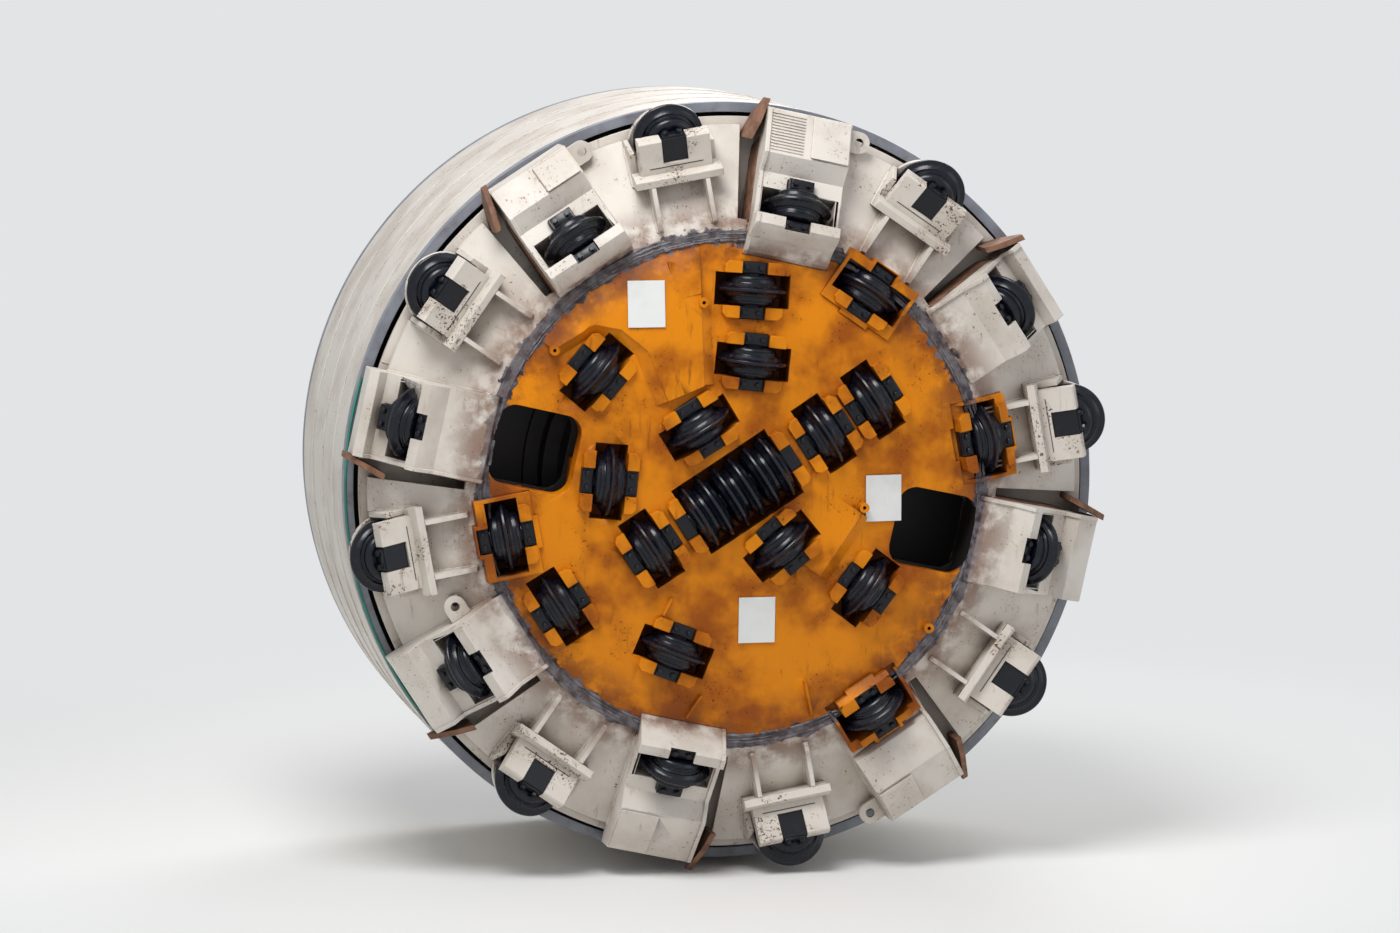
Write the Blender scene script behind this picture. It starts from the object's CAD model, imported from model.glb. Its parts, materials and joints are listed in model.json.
"""Hard-rock tunnelling cutterhead on its front shield section: finishes, welds, fasteners, studio."""
import json
import math
import random
from math import cos, radians, sin

import bmesh
import bpy
from mathutils import Matrix, Vector, noise


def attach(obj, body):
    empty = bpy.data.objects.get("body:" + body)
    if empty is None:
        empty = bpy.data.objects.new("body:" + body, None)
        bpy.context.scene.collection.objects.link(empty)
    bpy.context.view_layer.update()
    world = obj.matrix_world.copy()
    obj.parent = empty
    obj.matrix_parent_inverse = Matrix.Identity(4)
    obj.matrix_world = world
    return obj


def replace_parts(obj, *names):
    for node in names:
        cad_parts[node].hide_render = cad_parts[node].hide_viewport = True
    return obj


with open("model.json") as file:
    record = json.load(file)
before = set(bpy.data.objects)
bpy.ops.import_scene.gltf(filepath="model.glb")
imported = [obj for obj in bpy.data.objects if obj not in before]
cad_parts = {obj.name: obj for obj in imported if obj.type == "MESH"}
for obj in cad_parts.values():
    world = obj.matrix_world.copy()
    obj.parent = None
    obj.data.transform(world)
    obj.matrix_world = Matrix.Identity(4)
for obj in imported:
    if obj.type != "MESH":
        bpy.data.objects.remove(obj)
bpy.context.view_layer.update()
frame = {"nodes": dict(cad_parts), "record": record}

MM = 0.001
record = frame["record"]
BODY_OF = {n: body for body, nodes in record["behaviour"]["bodies"].items() for n in nodes}
SLOT_OF = {s["node"]: s["material_slot"] for s in record["subparts"]}

# Sizes of the head, in millimetres, as its source has them
RIM_Z = 2430
PLATE_R, CORE_R, DOME_RISE = 1500, 1560, 120
SKIRT_R, SKIRT_STEP, SKIRT_FALL = 2180, 15, 275
SKIRT_LEAN = 23.9
TIP_PROUD, DISC_R = 160, 216
# A shaft's end blocks run from BLOCK_INNER to SHAFT_HALF, and are BLOCK_HALF high over its axis
SHAFT_HALF, BLOCK_INNER, BLOCK_HALF = 172, 98, 78
ARM_W = 530
CENTRE_ANGLE, CENTRE_PITCH = 32.5, 220
# Middle of the bare weld band between the orange plate and the white skirt
BAND_R = 1528
SHIELD_R, SHIELD_LEN = 2310, 2000
BULKHEAD_BACK, BULKHEAD_FRONT = 1450, 1520
DRIVES, DRIVE_R, GEARBOX_R, GEARBOX_LEN, MOTOR_R, MOTOR_LEN = 8, 850, 190, 420, 150, 560
# Face cutters: radius, angle, tilt
FACE = [
    (454, 121, 0), (430, 309, 0), (620, CENTRE_ANGLE + 180, 0), (630, CENTRE_ANGLE, 0),
    (992, CENTRE_ANGLE, 0), (784.5, 83, 0), (784.5, 174.5, 0), (1000.5, 322.8, 0),
    (1036.5, 248.4, 0), (1117.5, 139.2, 0), (1204.5, 85.2, 4), (1261.5, 212.4, 4),
    (1405, 190.3, 8), (1430, 54.9, 8), (1562, 10.2, 12), (1600, 302.5, 16),
]
# Arms: angle, and their cutter's radius, height over the plate's rim and tilt; one arm has no cutter
ARMS = [
    (32.5, 1990, -85, 40), (77.5, 1717, 18, 24), (122.5, 1800, -1, 28), (167.5, 2005, -85, 40),
    (212.5, 1907, -39, 34), (257.5, 1700, 18, 24), (302.5, 0, 0, 0), (347.5, 1893, -39, 34),
]
# Gauge cutters: radius, height over the plate's rim, tilt
GAUGE = (2150, -170, 67)
GAUGE_ANGLES = [10 + 45 * i for i in range(8)]

# Turns the source's z axis, the head's own, to the frame's -y
FACING = Matrix.Rotation(radians(90), 4, "X")


def dome(r):
    """Height of the orange plate's face over its rim."""
    return DOME_RISE * (1 - (r / PLATE_R) ** 2)


def skirt(r):
    """Height of the white skirt's face over the plate's rim."""
    return -SKIRT_STEP - SKIRT_FALL * (r - CORE_R) / (SKIRT_R - CORE_R)


def on_head(angle, radius=0, height=0, tilt=0):
    """A frame on the head: x outwards, y counter-clockwise, z forwards, then tilted about y."""
    return (FACING @ Matrix.Rotation(radians(angle), 4, "Z")
            @ Matrix.Translation((radius * MM, 0, (RIM_Z + height) * MM))
            @ Matrix.Rotation(radians(tilt), 4, "Y"))


def face_cutter_frame(r, angle, tilt):
    """A face cutter's centre, x along its shaft and z out of the plate."""
    return on_head(angle, r, dome(min(r, PLATE_R)) + (TIP_PROUD - DISC_R) * cos(radians(tilt)), tilt)


def at(base, x, y, z):
    """A point given in millimetres in a frame."""
    return base @ Vector((x * MM, y * MM, z * MM))


def moved(base, x, y, z):
    """A frame shifted by millimetres along its own axes."""
    return base @ Matrix.Translation((x * MM, y * MM, z * MM))


# The frame of each disc cutter, by its node
CENTRE = on_head(CENTRE_ANGLE, 0, DOME_RISE + TIP_PROUD - DISC_R)
FACE_CUTTERS = {f"face_cutter_{i}": face_cutter_frame(*row) for i, row in enumerate(FACE, 1)}
ARM_CUTTERS = {f"arm_cutter_{i}": on_head(*row) for i, row in enumerate(ARMS, 1) if row[1]}
GAUGE_CUTTERS = {f"gauge_cutter_{i}": on_head(angle, *GAUGE) for i, angle in enumerate(GAUGE_ANGLES, 1)}
CENTRE_CUTTERS = {f"centre_cutter_{i}": moved(CENTRE, (i - 2) * CENTRE_PITCH, 0, 0) for i in (1, 2, 3)}

# ---------------------------------------------------------------- materials


def linear(hex_colour):
    """An sRGB hex value as a linear colour."""
    out = []
    for i in (1, 3, 5):
        c = int(hex_colour[i:i + 2], 16) / 255
        out.append(c / 12.92 if c <= 0.04045 else ((c + 0.055) / 1.055) ** 2.4)
    return (*out, 1.0)


# Nodes that the finishes use: type, settings, the inputs that are given in order, the output that is read
COORDS = ("ShaderNodeTexCoord", {}, (), "Object")
MAPPING = ("ShaderNodeMapping", {}, ("Vector", "Scale"), 0)
NOISE = ("ShaderNodeTexNoise", {}, ("Vector", "Scale", "Detail", "Roughness"), "Fac")
SPLIT = ("ShaderNodeSeparateXYZ", {}, (0,), None)
OCCLUSION = ("ShaderNodeAmbientOcclusion", {"samples": 6}, ("Distance",), "AO")
BUMP = ("ShaderNodeBump", {}, ("Height", "Distance"), 0)
LIGHT_PATH = ("ShaderNodeLightPath", {}, (), None)
GLOW = ("ShaderNodeEmission", {}, ("Color", "Strength"), 0)
MIX_SHADER = ("ShaderNodeMixShader", {}, (0, 1, 2), 0)
RANGE = ("ShaderNodeMapRange", {}, ("Value", "To Min", "To Max"), 0)
# 0 below the first number, 1 above the second, smooth between
STEP = ("ShaderNodeMapRange", {"interpolation_type": "SMOOTHSTEP"}, ("Value", "From Min", "From Max"), 0)
# The first colour where the factor is 0, the second where it is 1
BLEND = ("ShaderNodeMix", {"data_type": "RGBA"}, (0, 6, 7), 2)
ADD, SUBTRACT, MULTIPLY, MAXIMUM, ABSOLUTE, SQRT = (
    ("ShaderNodeMath", {"operation": how}, (0, 1), 0)
    for how in ("ADD", "SUBTRACT", "MULTIPLY", "MAXIMUM", "ABSOLUTE", "SQRT"))


def plug(tree, socket, value):
    """Sets an input to a plain value, or links another node's output to it."""
    if isinstance(value, bpy.types.NodeSocket):
        tree.links.new(value, socket)
    else:
        socket.default_value = value


def add(tree, kind, *values):
    """Adds one node of a kind with its inputs, and gives the output that is read, or the node."""
    type_name, settings, inputs, output = kind
    node = tree.nodes.new(type_name)
    for key, value in settings.items():
        setattr(node, key, value)
    for key, value in zip(inputs, values):
        plug(tree, node.inputs[key], value)
    return node if output is None else node.outputs[output]


def pattern(tree, size_mm, detail=3.0, stretch=(1, 1, 1), rough=0.55):
    """Noise whose features are size_mm across, drawn out by stretch."""
    scale = 1 / (size_mm * MM)
    place = add(tree, MAPPING, add(tree, COORDS), tuple(scale / s for s in stretch))
    return add(tree, NOISE, place, 1.0, detail, rough)


def distance(tree, a, b):
    """The length that two offsets at right angles give."""
    return add(tree, SQRT, add(tree, ADD, add(tree, MULTIPLY, a, a), add(tree, MULTIPLY, b, b)))


def head_place(tree):
    """Distance from the head's axis and height over the plate's rim, in metres."""
    x, y, z = add(tree, SPLIT, add(tree, COORDS)).outputs
    return distance(tree, x, z), add(tree, SUBTRACT, -RIM_Z * MM, y)


def corners(tree, reach_mm):
    """1 in inner corners and crevices, 0 on open faces."""
    return add(tree, SUBTRACT, 1.0, add(tree, OCCLUSION, reach_mm * MM))


def new_material(name):
    """An empty finish, and the node tree that holds it."""
    mat = bpy.data.materials.new(name)
    mat.use_nodes = True
    return mat, mat.node_tree


def shaded(mat, colour, rough, bump, bump_mm, coat=0.0, specular=0.5):
    """Gives a finish its colour, its roughness and bumps of a height in millimetres."""
    tree = mat.node_tree
    inputs = tree.nodes["Principled BSDF"].inputs
    for key, value in (("Base Color", colour), ("Roughness", rough), ("Coat Weight", coat),
                       ("Coat Roughness", 0.2), ("Specular IOR Level", specular),
                       ("Normal", add(tree, BUMP, bump, bump_mm * MM))):
        plug(tree, inputs[key], value)
    return mat


def bare_band(tree, colour, scorched):
    """Bares the weld band round the orange plate, with a ragged edge, and scorches the paint beside it."""
    radius, height = head_place(tree)
    beside = add(tree, SUBTRACT, radius, BAND_R * MM)
    # Scorched in patches up to 320 mm from the band's middle, but not on what stands high over the rim
    scorch = add(tree, SUBTRACT, 1.0, add(tree, STEP, add(tree, ABSOLUTE, beside), 0.05, 0.32))
    scorch = add(tree, MULTIPLY, scorch, add(tree, STEP, pattern(tree, 150, 5, rough=0.6), 0.34, 0.60))
    low = add(tree, SUBTRACT, 1.0, add(tree, STEP, height, 0.03, 0.11))
    scorch = add(tree, MULTIPLY, add(tree, MULTIPLY, scorch, low), 0.85)
    colour = add(tree, BLEND, scorch, colour, linear(scorched))
    # Bare steel about 40 mm to each side of the middle, which wanders
    ragged = add(tree, MULTIPLY, add(tree, SUBTRACT, pattern(tree, 70, 4), 0.5), 0.16)
    away = add(tree, ABSOLUTE, add(tree, SUBTRACT, beside, ragged))
    bare = add(tree, SUBTRACT, 1.0, add(tree, STEP, away, 0.034, 0.046))
    bare = add(tree, MULTIPLY, bare, add(tree, SUBTRACT, 1.0, add(tree, STEP, height, 0.025, 0.045)))
    heated = add(tree, STEP, pattern(tree, 60, 5), 0.4, 0.62)
    steel = add(tree, BLEND, heated, linear("#68646a"), linear("#382e32"))
    return add(tree, BLEND, bare, colour, steel)


def enamel(name, base, weathered, rust, grime, chip_amount, streak_amount,
           band=None, gloss=0.45, specular=0.35):
    """Machine enamel brushed over welded plate. It weathers unevenly, chips to rust in speckles,
    runs with rust and holds dirt in the corners. Where it stops at the bare weld band, band is the
    colour that heat and oil give it."""
    mat, tree = new_material(name)
    # Clouds of paler or deeper paint, about half a metre across
    cloud = add(tree, STEP, pattern(tree, 420, 4), 0.40, 0.66)
    colour = add(tree, BLEND, cloud, linear(base), linear(weathered))
    # Thin runs of rust, drawn out down the plates
    runs = add(tree, STEP, pattern(tree, 34, 4, (1, 1, 7)), 0.57, 0.76)
    where = add(tree, STEP, pattern(tree, 300, 2), 0.45, 0.62)
    runs = add(tree, MULTIPLY, add(tree, MULTIPLY, runs, where), streak_amount)
    colour = add(tree, BLEND, runs, colour, linear(rust))
    # Grime in the corners, uneven by a hand's width
    dirt = add(tree, STEP, corners(tree, 130), 0.34, 0.95)
    uneven = add(tree, ADD, add(tree, MULTIPLY, pattern(tree, 60, 4), 0.9), 0.25)
    dirt = add(tree, MULTIPLY, dirt, uneven)
    colour = add(tree, BLEND, dirt, colour, linear(grime))
    # Chips a few millimetres to a few centimetres across, in patches
    specks = pattern(tree, 16, 5, rough=0.62)
    specks = add(tree, STEP, specks, 0.615 - chip_amount, 0.635 - chip_amount)
    patches = add(tree, STEP, pattern(tree, 210, 3), 0.50, 0.60)
    chips = add(tree, MULTIPLY, specks, patches)
    colour = add(tree, BLEND, chips, colour, linear(rust))
    # Chips lie below the brushed coat, and are as dull as the grime
    brushed = add(tree, MULTIPLY, pattern(tree, 26, 4), 0.7)
    bump = add(tree, SUBTRACT, brushed, add(tree, MULTIPLY, chips, 0.5))
    rough = add(tree, ADD, gloss, add(tree, MULTIPLY, add(tree, MAXIMUM, chips, dirt), 0.35))
    if band:
        colour = bare_band(tree, colour, band)
    return shaded(mat, colour, rough, bump, 1.2, specular=specular)


def bare_steel(name, light, dark, rust, rust_amount, rough, grain_mm, bump_mm, bore_mm=None):
    """Bare or primed steel plate. Mill scale and handling give it cloudy greys, and rust blooms on it.
    Within the radius of bore_mm it is black with oil."""
    mat, tree = new_material(name)
    cloud = add(tree, STEP, pattern(tree, grain_mm * 5, 5), 0.38, 0.66)
    colour = add(tree, BLEND, cloud, linear(light), linear(dark))
    bloom = add(tree, STEP, pattern(tree, grain_mm * 2.4, 6, rough=0.68), 0.50, 0.68)
    bloom = add(tree, MULTIPLY, bloom, rust_amount)
    colour = add(tree, BLEND, bloom, colour, linear(rust))
    dirt = add(tree, STEP, corners(tree, 110), 0.25, 0.9)
    colour = add(tree, BLEND, add(tree, MULTIPLY, dirt, 0.7), colour, linear("#1d1b19"))
    if bore_mm:
        radius, _ = head_place(tree)
        outside = add(tree, STEP, radius, bore_mm * MM, (bore_mm + 1) * MM)
        colour = add(tree, BLEND, outside, linear("#1b1817"), colour)
    return shaded(mat, colour, add(tree, ADD, rough, add(tree, MULTIPLY, bloom, 0.25)),
                  pattern(tree, grain_mm, 5), bump_mm)


def black_enamel(name, base, scuff, rough, specular):
    """Thick blue-black enamel on forged steel. It shines, with duller scuffs."""
    mat, tree = new_material(name)
    marks = add(tree, STEP, pattern(tree, 45, 5, rough=0.65), 0.52, 0.74)
    colour = add(tree, BLEND, marks, linear(base), linear(scuff))
    return shaded(mat, colour, add(tree, ADD, rough, add(tree, MULTIPLY, marks, 0.2)),
                  pattern(tree, 38, 4), 0.5, coat=0.12, specular=specular)


def pocket_paint(name, paint, deep):
    """The orange paint inside the cutters' pockets: thinner and dirtier the deeper it lies."""
    mat, tree = new_material(name)
    _, height = head_place(tree)
    # From 360 mm below the plate's rim to 120 mm, with an uneven edge
    wander = add(tree, MULTIPLY, add(tree, SUBTRACT, pattern(tree, 90, 4), 0.5), 0.12)
    shallow = add(tree, STEP, add(tree, ADD, height, wander), -0.36, -0.12)
    colour = add(tree, BLEND, shallow, linear(deep), linear(paint))
    return shaded(mat, colour, 0.5, pattern(tree, 30, 4), 0.8)


def bulkhead_paint(name, paint, worn, oily, front_mm):
    """Cream paint on the bulkhead's machine side; its front, in the muck chamber, is black with oil."""
    mat, tree = new_material(name)
    _, height = head_place(tree)
    ahead = add(tree, STEP, height, (front_mm - RIM_Z - 4) * MM, (front_mm - RIM_Z - 1) * MM)
    cloud = add(tree, STEP, pattern(tree, 300, 4), 0.42, 0.68)
    painted = add(tree, BLEND, cloud, linear(paint), linear(worn))
    return shaded(mat, add(tree, BLEND, ahead, painted, linear(oily)), 0.45, pattern(tree, 30, 4), 0.8)


# Cream enamel on the arms and skirt: satin, with rust at its chips and brown grime in the corners
cream = enamel("cream_machine_enamel", "#d8d1c8", "#c6bcb1", "#7d5334", "#665042", -0.01, 0.45,
               band="#7c5b49")
# The same enamel on the gauge units, chipped in speckles by rock
cream_chipped = enamel("cream_enamel_chipped", "#d6cec4", "#c3b8ab", "#5f4034", "#5c463a", 0.055, 0.6)
# Orange enamel on the face plate: deeper where it is thick, brown beside the welds and the pockets
orange = enamel("orange_machine_enamel", "#da8208", "#984c04", "#6e340c", "#642c08", 0.0, 0.6,
                band="#7a3f18", gloss=0.42, specular=0.2)
# The same orange inside the pockets, fading to brown grease
orange_pocket = pocket_paint("orange_pocket_enamel", "#d0760a", "#5c2c0c")
# Unpainted weld metal between the two paints: rough, blue-grey, with brown heat marks
weld = bare_steel("weld_metal", "#706c70", "#3a3034", "#5f4436", 0.8, 0.5, 14, 1.6)
# The same metal on the ring below the welds, oily on its inner side
weld_ring = bare_steel("weld_metal_ring", "#686468", "#362d31", "#5f4436", 0.8, 0.5, 14, 1.6,
                       bore_mm=PLATE_R + 0.5)
# Primed steel of the shield's ends and the machined rings: even grey with few marks
primed = bare_steel("grey_primer", "#868a93", "#747781", "#6a4c36", 0.4, 0.5, 40, 0.6)
# Oily steel in the muck chamber, nearly black, seen through the manholes
chamber = bare_steel("oily_chamber_steel", "#262220", "#171514", "#33241b", 0.5, 0.45, 40, 0.8)
# Rusted scraper plate: brown and orange scale
scraper = bare_steel("rusted_scraper_plate", "#86604a", "#5e4233", "#8f5a36", 0.7, 0.7, 16, 1.6)
# Blue-black enamel of the disc cutters
cutter_black = black_enamel("cutter_black_enamel", "#0a0d18", "#181c2a", 0.26, 0.3)
# Navy-black enamel of the shafts' end blocks
shaft_black = black_enamel("shaft_black_enamel", "#0c0d16", "#1a1a22", 0.3, 0.3)
# Cream paint of the bulkhead, dark on its front
bulkhead_cream = bulkhead_paint("bulkhead_enamel", "#d8d1c8", "#c3b8a8", "#1f1b19", BULKHEAD_FRONT)
# Blue enamel of the gearboxes and grey of the motors: plain shop finishes
gear_blue = enamel("gearbox_blue_enamel", "#3a5c8c", "#34527c", "#6b4a33", "#2a2c30", 0.0, 0.2)
motor_grey = enamel("motor_grey_enamel", "#66727c", "#5a656e", "#6b4a33", "#2a2c30", 0.0, 0.2)
# White enamel on thin sheet metal: even and clean, with faint runs
plate_white = enamel("blank_plate_white", "#dfe0de", "#d2d2cf", "#8a6a4a", "#77695a", -0.3, 0.1)
# Teal paint of the seal strip on the shield's front edge
teal = enamel("teal_strip_paint", "#3c9482", "#2f7a6d", "#6b4a33", "#3a3a38", 0.0, 0.2)

FINISH = {
    "white_paint": cream, "orange_paint": orange, "bare_steel": primed, "weld_steel": weld,
    "rusty_steel": scraper, "black_steel": shaft_black, "cutter_steel": cutter_black,
    "blue_paint": gear_blue, "motor_grey": motor_grey,
}
NODE_FINISH = {
    "gauge_saddles": cream_chipped, "face_housings": orange_pocket, "core_ring": weld_ring,
    "drum": chamber, "back_plate": chamber, "main_bearing_housing": chamber, "bulkhead": bulkhead_cream,
}

# ---------------------------------------------------------------- the solids, with their edges eased

# Width of each node's eased edges, in millimetres; the bulkhead's face with its bores stays sharp
EDGE_MM = {"bulkhead": 0, "gauge_saddles": 5, "bucket_arms": 6, "face_plate": 4, "rim_housings": 4,
           "cutter_shafts": 5, "gauge_gussets": 2, "lifting_lugs": 4, "bucket_lips": 2, "skirt_panels": 3}
USUAL_EDGE_MM = 2.5
# Faces that meet at less than SMOOTH_ANGLE read as one curve; only edges over EASED_ANGLE are eased
SMOOTH_ANGLE, EASED_ANGLE = radians(24), radians(28)
# Triangles that lean less than this are one flat face
FLAT_ANGLE = radians(0.4)
# Points closer than MERGE are one point
MERGE, MERGE_TURNED = 0.00002, 0.00005
# Steps of a turned cutter round its shaft
TURN_STEPS = 64


def mark_corners(bm, edge_mm):
    """Marks the outer edges that have enough flat beside them to be eased."""
    room = 3.2 * edge_mm * MM
    marks = bm.edges.layers.float.new("bevel_weight_edge")
    for e in bm.edges:
        if len(e.link_faces) == 2 and e.is_convex and e.calc_face_angle(0) > EASED_ANGLE:
            sides = set(e.link_faces)
            beside = [x for v in e.verts for x in v.link_edges if sides.intersection(x.link_faces)]
            if all(x.calc_length() > room for x in beside):
                e[marks] = 1.0


def placed(name, data):
    """A new object in the scene."""
    obj = bpy.data.objects.new(name, data)
    bpy.context.scene.collection.objects.link(obj)
    return obj


def finished(name, mesh_bm, material, body, edge_mm=0.0):
    """Puts a bmesh into the scene as a piece with a finish, riding on a body."""
    if edge_mm:
        mark_corners(mesh_bm, edge_mm)
    for e in mesh_bm.edges:
        e.smooth = len(e.link_faces) == 2 and e.calc_face_angle(0) < SMOOTH_ANGLE
    for f in mesh_bm.faces:
        f.smooth = True
    mesh = bpy.data.meshes.new(name)
    mesh_bm.to_mesh(mesh)
    mesh_bm.free()
    piece = placed(name, mesh)
    mesh.materials.append(material)
    if edge_mm:
        ease = piece.modifiers.new("eased_edges", "BEVEL")
        ease.width = edge_mm * MM
        ease.segments = 2
        ease.use_clamp_overlap = False
        ease.harden_normals = True
        ease.limit_method = "WEIGHT"
    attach(piece, body)
    return piece


# Half sections of a cutter, in rows of place along the shaft and radius: the ring from its tip, then the
# hub with its covers to its end, and the hubs between and outside the two rings of a twin cutter
RING = [(5, 216), (9, 213), (12, 206), (15, 195), (21, 186), (32, 177), (37, 173), (37, 161)]
HUB = [(40, 156), (45, 154), (47, 150), (63, 149), (65, 145), (68, 145), (70, 147), (78, 143), (85, 135),
       (90, 126), (91.8, 116), (92, 69)]
TWIN_IN = [(-40, 156), (-44, 153), (-46, 147), (-55, 146)]
TWIN_OUT = [(39, 157), (42, 152), (45, 146), (49, 134), (50, 120), (50, 69)]
TWIN_RING_X = 55
SINGLE_SECTION = RING + HUB
TWIN_SECTION = ([(TWIN_RING_X + x, r) for x, r in reversed(TWIN_IN)]
                + [(TWIN_RING_X - x, r) for x, r in reversed(RING)]
                + [(TWIN_RING_X + x, r) for x, r in RING + TWIN_OUT])


def turned_cutter(base, section):
    """Turns a disc cutter about the x axis of a frame, from one half of its section."""
    bm = bmesh.new()
    whole = [(-x, r) for x, r in reversed(section)] + section
    points = [bm.verts.new(at(base, x, 0, r)) for x, r in whole]
    outline = [bm.edges.new(pair) for pair in zip(points, points[1:] + points[:1])]
    bmesh.ops.spin(bm, geom=points + outline, cent=base.translation, axis=base.to_3x3() @ Vector((1, 0, 0)),
                   dvec=(0, 0, 0), angle=2 * math.pi, steps=TURN_STEPS, use_merge=True)
    bmesh.ops.remove_doubles(bm, verts=bm.verts, dist=MERGE_TURNED)
    bmesh.ops.recalc_face_normals(bm, faces=bm.faces)
    return bm


TURNED = FACE_CUTTERS | ARM_CUTTERS | GAUGE_CUTTERS | CENTRE_CUTTERS
for node, base in TURNED.items():
    section = TWIN_SECTION if node in CENTRE_CUTTERS else SINGLE_SECTION
    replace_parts(finished(node + "_turned", turned_cutter(base, section), cutter_black, BODY_OF[node]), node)

for node, solid in frame["nodes"].items():
    if node in TURNED:
        continue
    bm = bmesh.new()
    bm.from_mesh(solid.data)
    bmesh.ops.remove_doubles(bm, verts=bm.verts, dist=MERGE)
    bmesh.ops.dissolve_limit(bm, angle_limit=FLAT_ANGLE, verts=bm.verts, edges=bm.edges)
    cover = finished(node + "_finished", bm, NODE_FINISH.get(node, FINISH[SLOT_OF[node]]),
                     BODY_OF[node], EDGE_MM.get(node, USUAL_EDGE_MM))
    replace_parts(cover, node)

# ---------------------------------------------------------------- welds

# Deals the lengths of the weld beads and then the turns of the bolt heads
rng = random.Random(7)
# Without a seed of its own the noise that roughens the beads would differ in each run
noise.seed_set(7)


def rod(bm, base, radius_mm, length_mm, sides, top_radius_mm=None):
    """A rod, or a cone with a top radius, centred in a frame along its z axis."""
    top = radius_mm if top_radius_mm is None else top_radius_mm
    made = bmesh.ops.create_cone(bm, segments=sides, radius1=radius_mm * MM, radius2=top * MM,
                                 depth=length_mm * MM, cap_ends=True, matrix=base)
    return made["verts"]


def edges_of(verts):
    """The edges at some points, each once, in an order that is the same in each run."""
    return list(dict.fromkeys(e for v in verts for e in v.link_edges))


def weld_bar(bm, start, end, size_mm, ripple_mm=9):
    """A fillet weld from start to end: a rod of short ripples, which roughen makes uneven."""
    run = end - start
    cuts = min(60, max(2, int(run.length / (ripple_mm * MM))))
    turn = run.to_track_quat("Z", "Y").to_matrix().to_4x4()
    verts = rod(bm, Matrix.Translation((start + end) / 2) @ turn, size_mm, run.length / MM, 6)
    axis = run.normalized()
    long_edges = [e for e in edges_of(verts)
                  if abs((e.verts[0].co - e.verts[1].co).normalized().dot(axis)) > 0.99]
    bmesh.ops.subdivide_edges(bm, edges=long_edges, cuts=cuts, use_grid_fill=False)


def put_into(bm, piece_bm):
    """Adds a small bmesh to a larger one, which is quicker than growing it in place."""
    mesh = bpy.data.meshes.new("part")
    piece_bm.to_mesh(mesh)
    piece_bm.free()
    bm.from_mesh(mesh)
    bpy.data.meshes.remove(mesh)


def weld_arc(bm, radius, height, a0, a1, size_mm, ripple_mm=11):
    """A weld bead round the head's axis between two angles."""
    bead = bmesh.new()
    frame_at = on_head(a0, radius, height) @ Matrix.Rotation(radians(90), 4, "X")
    section = bmesh.ops.create_circle(bead, segments=6, radius=size_mm * MM, cap_ends=False,
                                      matrix=frame_at)["verts"]
    steps = max(3, int(radians(abs(a1 - a0)) * radius / ripple_mm))
    bmesh.ops.spin(bead, geom=section + edges_of(section), cent=(0, 0, 0), axis=(0, -1, 0), dvec=(0, 0, 0),
                   angle=radians(a1 - a0), steps=steps, use_merge=False)
    bmesh.ops.holes_fill(bead, edges=[e for e in bead.edges if e.is_boundary], sides=6)
    bmesh.ops.recalc_face_normals(bead, faces=bead.faces)
    put_into(bm, bead)


def roughen(bm, amount_mm, grain_mm, seed):
    """Shifts every point a little, by a noise of its own for each seed, so that beads look uneven."""
    shift = Vector((seed * 3.1, seed * 1.7, seed * 0.9))
    for v in bm.verts:
        v.co += noise.noise_vector(v.co / (grain_mm * MM) + shift) * amount_mm * MM


# Ragged runs of weld metal along both edges of the bare band and across it: radius, height, size
RIM_RUNS = [(1501, 1, 9), (1558, -10, 9), (1540, -3, 7), (1519, 0, 7)]
bm = bmesh.new()
for radius, height, size in RIM_RUNS:
    angle = 0.0
    while angle < 360:
        span = rng.uniform(3, 13)
        if rng.random() < 0.8:
            bead_radius = radius + rng.uniform(-8, 8)
            weld_arc(bm, bead_radius, height, angle, angle + span, size * rng.uniform(0.7, 1.3))
        angle += span + rng.uniform(-1.0, 3.0)
roughen(bm, 5, 30, 1)
finished("rim_weld_beads", bm, weld, "head")


def skirt_fillet(bm, angle, across, inner, outer, size_mm):
    """A fillet weld on the white skirt between two radii, some millimetres across from the line at angle."""
    start, end = (at(on_head(angle, r, skirt(r)), 0, across, 0) for r in (inner, outer))
    weld_bar(bm, start, end, size_mm)


# Painted fillets where arms, gauge units and their gussets stand on the skirt: inner and outer radius
ARM_FOOT, SLOT_FOOT, UNIT_FOOT, GUSSET_FOOT = (1572, 2172), (1572, 1600), (1890, 2120), (1606, 1880)
# Half the width of a gauge unit, the place of its gussets and half the thickness of one
UNIT_HALF, GUSSET_Y, GUSSET_HALF = 261, 166.5, 14
bm = bmesh.new()
for arm_angle, *_ in ARMS:
    skirt_fillet(bm, arm_angle, -ARM_W / 2, *ARM_FOOT, 9)
    skirt_fillet(bm, arm_angle, ARM_W / 2, *SLOT_FOOT, 9)
for unit_angle in GAUGE_ANGLES:
    for side in (-1, 1):
        skirt_fillet(bm, unit_angle, side * UNIT_HALF, *UNIT_FOOT, 9)
        for face in (-GUSSET_HALF, GUSSET_HALF):
            skirt_fillet(bm, unit_angle, side * GUSSET_Y + face, *GUSSET_FOOT, 8)
roughen(bm, 2.5, 14, 2)
finished("skirt_fillet_welds", bm, cream, "head")

# Seams between the eight segments of the rear ring, across its front face
SEAM_ANGLE, RING_FRONT, RING_INNER, RING_OUTER = 24.5, -360, 2182, 2226
bm = bmesh.new()
for i in range(8):
    base = on_head(SEAM_ANGLE + 45 * i, 0, RING_FRONT)
    weld_bar(bm, at(base, RING_INNER, 0, 1), at(base, RING_OUTER, 0, 1), 5)
roughen(bm, 2, 14, 3)
finished("ring_seams", bm, cream, "head")

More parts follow.
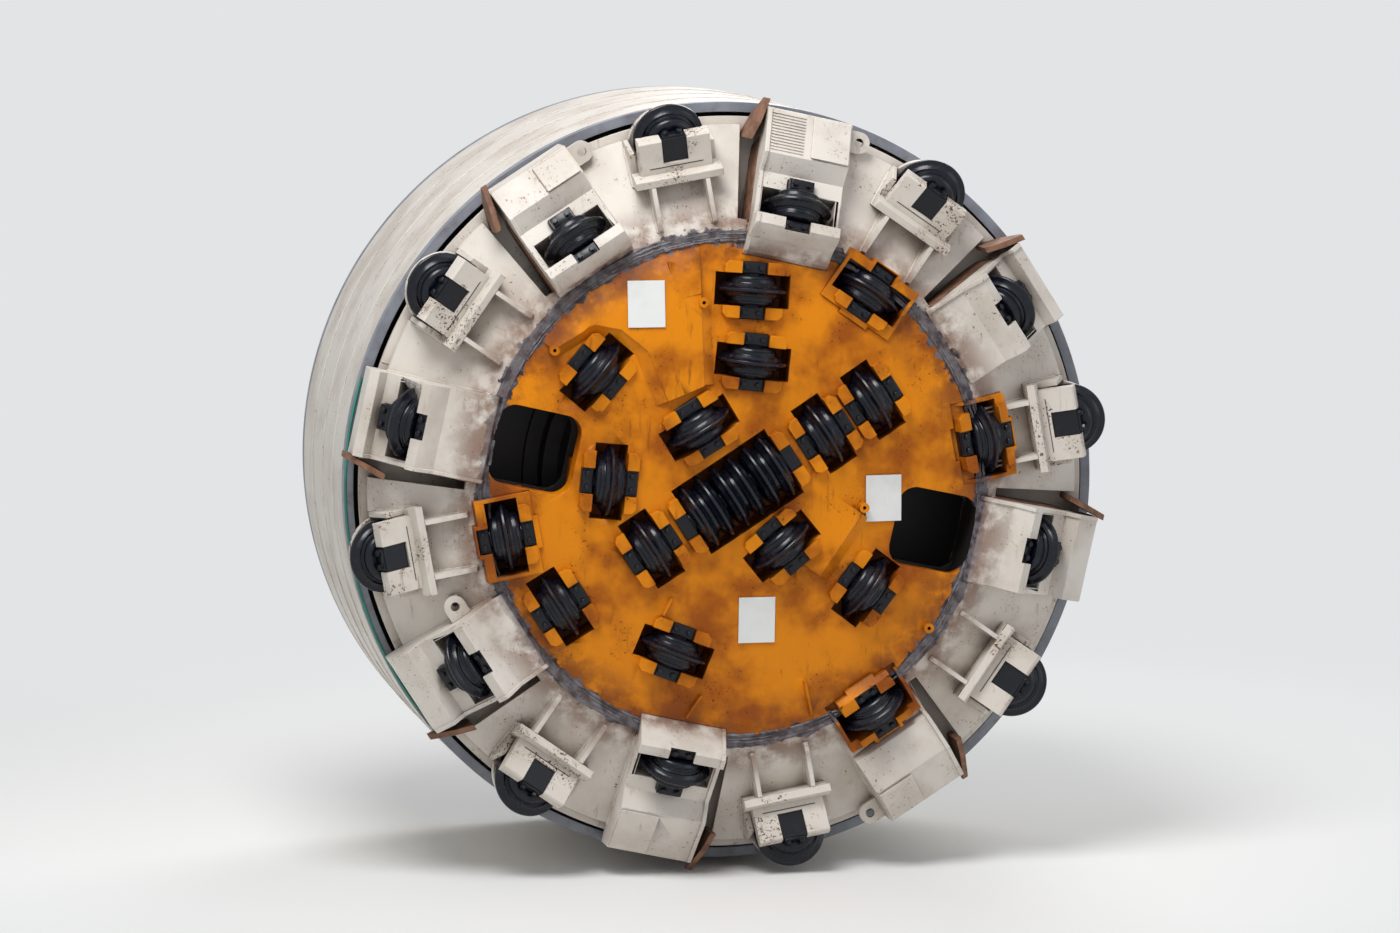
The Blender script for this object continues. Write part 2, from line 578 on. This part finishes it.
# Weld seams round the shield's shell, each in two halves, by their places from its rear flange
SHELL_SEAMS = [520, 1010, 1500]
bm = bmesh.new()
for z in SHELL_SEAMS:
    weld_arc(bm, SHIELD_R + 1, z - RIM_Z, 0, 180, 5)
    weld_arc(bm, SHIELD_R + 1, z - RIM_Z, 180, 360, 5)
roughen(bm, 1.5, 14, 6)
finished("shell_seams", bm, cream, "shield")

# Teal seal strip along the left of the shield's front edge, between two angles
STRIP_FROM, STRIP_TO = 163, 216
bm = bmesh.new()
weld_arc(bm, SHIELD_R - 12, SHIELD_LEN - RIM_Z + 1, STRIP_FROM, STRIP_TO, 8, 30)
finished("edge_strip", bm, teal, "shield")

# ---------------------------------------------------------------- bars, plates and bolts on the head


def block_on(bm, base, size, centre, ease_mm):
    """A plate or bar with eased edges in a frame, sizes in millimetres."""
    cube = bmesh.ops.create_cube(bm, size=1.0, matrix=moved(base, *centre)
                                 @ Matrix.Diagonal((*(s * MM for s in size), 1)))
    bmesh.ops.bevel(bm, geom=edges_of(cube["verts"]), offset=ease_mm * MM, segments=2, profile=0.5,
                    affect="EDGES", material=-1)


WASHER_HIGH, BOLT_END_HIGH = 5, 3


def hex_bolt(bm, base, across_mm, high_mm):
    """A hexagon head on its washer, standing along z, with its round chamfered top."""
    r = across_mm / math.sqrt(3)
    rod(bm, moved(base, 0, 0, WASHER_HIGH / 2), r * 1.18, WASHER_HIGH, 16, r * 1.14)
    rod(bm, moved(base, 0, 0, WASHER_HIGH + high_mm / 2) @ Matrix.Rotation(rng.uniform(0, 1), 4, "Z"),
        r, high_mm, 6)
    rod(bm, moved(base, 0, 0, WASHER_HIGH + high_mm + 1), r * 0.9, BOLT_END_HIGH, 12, r * 0.74)


# Joint between each gauge unit's seat and its base: a thin dark line across the front
JOINT_SIZE, JOINT_PLACE = (4, 330, 5), (-SHAFT_HALF - 16.5, 0, -98)
bm = bmesh.new()
for base in GAUGE_CUTTERS.values():
    block_on(bm, base, JOINT_SIZE, JOINT_PLACE, 1)
finished("seat_joints", bm, chamber, "head")

# Small tie-down eye on the skirt, at the left: a plate with a bore between two cheeks
EYE_ANGLE, EYE_R = 201.5, 1800
EYE_PLATE, CHEEK, CHEEK_Y, CHEEK_Z, EYE_BORE_R = (64, 110, 26), (64, 16, 14), 47, 30, 17
eye = on_head(EYE_ANGLE, EYE_R, skirt(EYE_R), SKIRT_LEAN)
bm = bmesh.new()
block_on(bm, eye, EYE_PLATE, (0, 0, EYE_PLATE[2] / 2), 6)
for side in (-1, 1):
    block_on(bm, eye, CHEEK, (0, side * CHEEK_Y, CHEEK_Z), 4)
finished("tie_eye", bm, cream, "head")
bm = bmesh.new()
rod(bm, moved(eye, 0, 0, EYE_PLATE[2]), EYE_BORE_R, 3, 24)
finished("tie_eye_bore", bm, chamber, "head")

# Rusted wear plates down the arms' slot sides
WEAR_R, WEAR_HEIGHT, WEAR_PLATE, WEAR_Z = 1850, 34, (545, 8, 200), -87
bm = bmesh.new()
for arm_angle, *_ in ARMS:
    base = on_head(arm_angle, WEAR_R, skirt(WEAR_R) + WEAR_HEIGHT, SKIRT_LEAN)
    block_on(bm, base, WEAR_PLATE, (0, ARM_W / 2 + 3, WEAR_Z), 2)
finished("wear_plates", bm, scraper, "head")

# Clamp bars with two bolts on the shafts' end blocks; a gauge shaft shows only its inner block
CLAMP, CLAMP_BOLT, CLAMP_BOLT_Y = (62, 128, 12), (32, 14), 42
block_x = (SHAFT_HALF + BLOCK_INNER) / 2
ends = [(base, side * block_x) for base in (FACE_CUTTERS | ARM_CUTTERS).values() for side in (-1, 1)]
ends += [(base, -block_x) for base in GAUGE_CUTTERS.values()]
bm = bmesh.new()
for base, x in ends:
    block_on(bm, base, CLAMP, (x, 0, BLOCK_HALF + CLAMP[2] / 2), 3)
    for y in (-CLAMP_BOLT_Y, CLAMP_BOLT_Y):
        hex_bolt(bm, moved(base, x, y, BLOCK_HALF + CLAMP[2]), *CLAMP_BOLT)
finished("shaft_clamps", bm, shaft_black, "head")

# Hardfacing ribs on the slot side of the second arm's box, down its slope
BOX_R, BOX_HEIGHT, BOX_FALL, BOX_LEAN = 2031, 9.7, 0.62, 31.8
RIBS, RIB_PITCH, RIB_FIRST, RIB, RIB_PLACE = 13, 17.6, 22, (8, 205, 12), (0, 128, 2)
bm = bmesh.new()
for i in range(RIBS):
    down = RIB_FIRST + i * RIB_PITCH
    base = on_head(ARMS[1][0], BOX_R + down, BOX_HEIGHT - BOX_FALL * down, BOX_LEAN)
    block_on(bm, base, RIB, RIB_PLACE, 2)
roughen(bm, 1.2, 30, 4)
finished("hardfacing_ribs", bm, cream, "head")

# ---------------------------------------------------------------- drives inside the shield


def bolt_circle(bm, base, radius, count, across_mm, high_mm):
    """Hexagon bolts spaced evenly round a frame's z axis, their heads towards its back."""
    facing_back = base @ Matrix.Rotation(math.pi, 4, "X")
    for i in range(count):
        turn = Matrix.Rotation(2 * math.pi * (i + 0.5) / count, 4, "Z")
        hex_bolt(bm, moved(facing_back @ turn, radius, 0, 0), across_mm, high_mm)


DRIVE_AXES = [moved(FACING @ Matrix.Rotation(2 * math.pi * i / DRIVES, 4, "Z"), DRIVE_R, 0, 0)
              for i in range(DRIVES)]
GEARBOX_END = BULKHEAD_BACK - GEARBOX_LEN

# Bolt circles on the flanges of a gearbox and a motor: place along the axis, radius of the circle,
# count, width across flats, height of a head
DRIVE_BOLTS = [
    (BULKHEAD_BACK - 60, GEARBOX_R + 18, 16, 24, 14),
    (GEARBOX_END - 40, MOTOR_R + 14, 12, 18, 11),
]
bm = bmesh.new()
for axis in DRIVE_AXES:
    for z, *bolts in DRIVE_BOLTS:
        bolt_circle(bm, moved(axis, 0, 0, z), *bolts)
finished("drive_bolts", bm, primed, "shield")

# Cooling ribs round each motor
COOLING_RIBS, COOLING_PITCH, COOLING_FIRST, COOLING_HIGH, COOLING_WIDE = 9, 46, 60, 9, 9
bm = bmesh.new()
for axis in DRIVE_AXES:
    for i in range(COOLING_RIBS):
        z = GEARBOX_END - MOTOR_LEN + COOLING_FIRST + i * COOLING_PITCH
        rod(bm, moved(axis, 0, 0, z), MOTOR_R + COOLING_HIGH, COOLING_WIDE, 40)
finished("motor_ribs", bm, motor_grey, "shield", 1.0)

# ---------------------------------------------------------------- blank plates on the orange face


def point_on_face(x, y):
    """A frame on the orange plate, x to the right and y up, with z out of the dome there."""
    r = math.hypot(x, y)
    lean = math.degrees(math.atan(2 * DOME_RISE * r / PLATE_R ** 2))
    angle = math.degrees(math.atan2(y, x))
    return on_head(angle, r, dome(r), lean) @ Matrix.Rotation(radians(-angle), 4, "Z")


# Places of the blank plates: right and up of the head's axis, height over the dome
BLANK_PLATES = [(-548, 1130, 51), (900, -60, 6), (120, -780, 6)]
BLANK_W, BLANK_H, BLANK_T = 223, 280, 3
for i, (x, y, height) in enumerate(BLANK_PLATES, 1):
    bm = bmesh.new()
    bmesh.ops.create_grid(bm, x_segments=8, y_segments=10, size=0.5,
                          matrix=moved(point_on_face(x, y), 0, 0, height)
                          @ Matrix.Diagonal((BLANK_W * MM, BLANK_H * MM, 1, 1)))
    bmesh.ops.solidify(bm, geom=bm.faces[:], thickness=-BLANK_T * MM)
    bmesh.ops.recalc_face_normals(bm, faces=bm.faces)
    finished(f"blank_plate_{i}", bm, plate_white, "head", 1.0)

# ---------------------------------------------------------------- studio

BACKDROP = linear("#e2e4e6")
# Half the floor's width, its height just under the head, and where it fades into the backdrop, in metres
FLOOR_HALF, FLOOR_Z, FADE_FROM, FADE_TO = 70, -2.362, 3.0, 9.0


def seen_directly(tree):
    """1 for what the camera, a reflection or glass looks at, 0 for the light that falls on the head."""
    ray = add(tree, LIGHT_PATH).outputs
    looked_at = add(tree, MAXIMUM, ray["Is Camera Ray"], ray["Is Glossy Ray"])
    return add(tree, MAXIMUM, looked_at, ray["Is Transmission Ray"])


def fading_floor(name, colour):
    """Pale matt floor that takes the head's shadow and fades into the backdrop."""
    mat, tree = new_material(name)
    matt = tree.nodes["Principled BSDF"]
    plug(tree, matt.inputs["Roughness"], 0.9)
    plug(tree, matt.inputs["Base Color"], linear(colour))
    x, y, _ = add(tree, SPLIT, add(tree, COORDS)).outputs
    far = add(tree, MULTIPLY, add(tree, STEP, distance(tree, x, y), FADE_FROM, FADE_TO), seen_directly(tree))
    mixed = add(tree, MIX_SHADER, far, matt.outputs[0], add(tree, GLOW, BACKDROP, 1.0))
    plug(tree, tree.nodes["Material Output"].inputs[0], mixed)
    return mat


bm = bmesh.new()
bmesh.ops.create_grid(bm, x_segments=1, y_segments=1, size=FLOOR_HALF,
                      matrix=Matrix.Translation((0, 0, FLOOR_Z)))
floor = placed("floor", bpy.data.meshes.new("floor"))
bm.to_mesh(floor.data)
bm.free()
floor.data.materials.append(fading_floor("studio_floor", "#eeeeec"))

# Even backdrop, seen at full strength; it lights the head at half
world = bpy.data.worlds.new("studio")
bpy.context.scene.world = world
world.use_nodes = True
backdrop = world.node_tree.nodes["Background"]
plug(world.node_tree, backdrop.inputs["Color"], BACKDROP)
plug(world.node_tree, backdrop.inputs["Strength"],
     add(world.node_tree, RANGE, seen_directly(world.node_tree), 0.5, 1.0))


def aimed(obj, place, aim):
    """Puts an object at a place and turns its -z axis to another."""
    obj.location = place
    obj.rotation_euler = (Vector(aim) - Vector(place)).to_track_quat("-Z", "Y").to_euler()


def lamp(name, place, aim, size, watts, colour):
    """A round soft lamp: its place, what it points at, its width in metres."""
    data = bpy.data.lights.new(name, "AREA")
    data.shape = "DISK"
    data.size = size
    data.energy = watts
    data.color = linear(colour)[:3]
    aimed(placed(name, data), place, aim)


# High key from the front left, cool fill from the right, one lamp for the machine side
lamp("key", (-3.3, -7.6, 9.9), (0, -2, 0.2), 6, 1150, "#ffffff")
lamp("fill", (13, -12, 5), (0, -2, 0), 9, 250, "#eef3ff")
lamp("back_fill", (5, 10, 9), (0, 0, 0), 8, 900, "#ffffff")

# Camera a little left of the head's axis and above it, with a long lens
TURN, RISE, STAND_OFF = radians(-10.7), radians(6.3), 38.5
AIM = Vector((0.0, -1.32, 0.02))
camera = placed("camera", bpy.data.cameras.new("camera"))
away = Vector((sin(TURN) * cos(RISE), -cos(TURN) * cos(RISE), sin(RISE)))
aimed(camera, AIM + away * STAND_OFF, AIM)
camera.data.lens = 160
camera.data.clip_end = 200
bpy.context.scene.camera = camera

bpy.context.scene.view_settings.view_transform = "Standard"
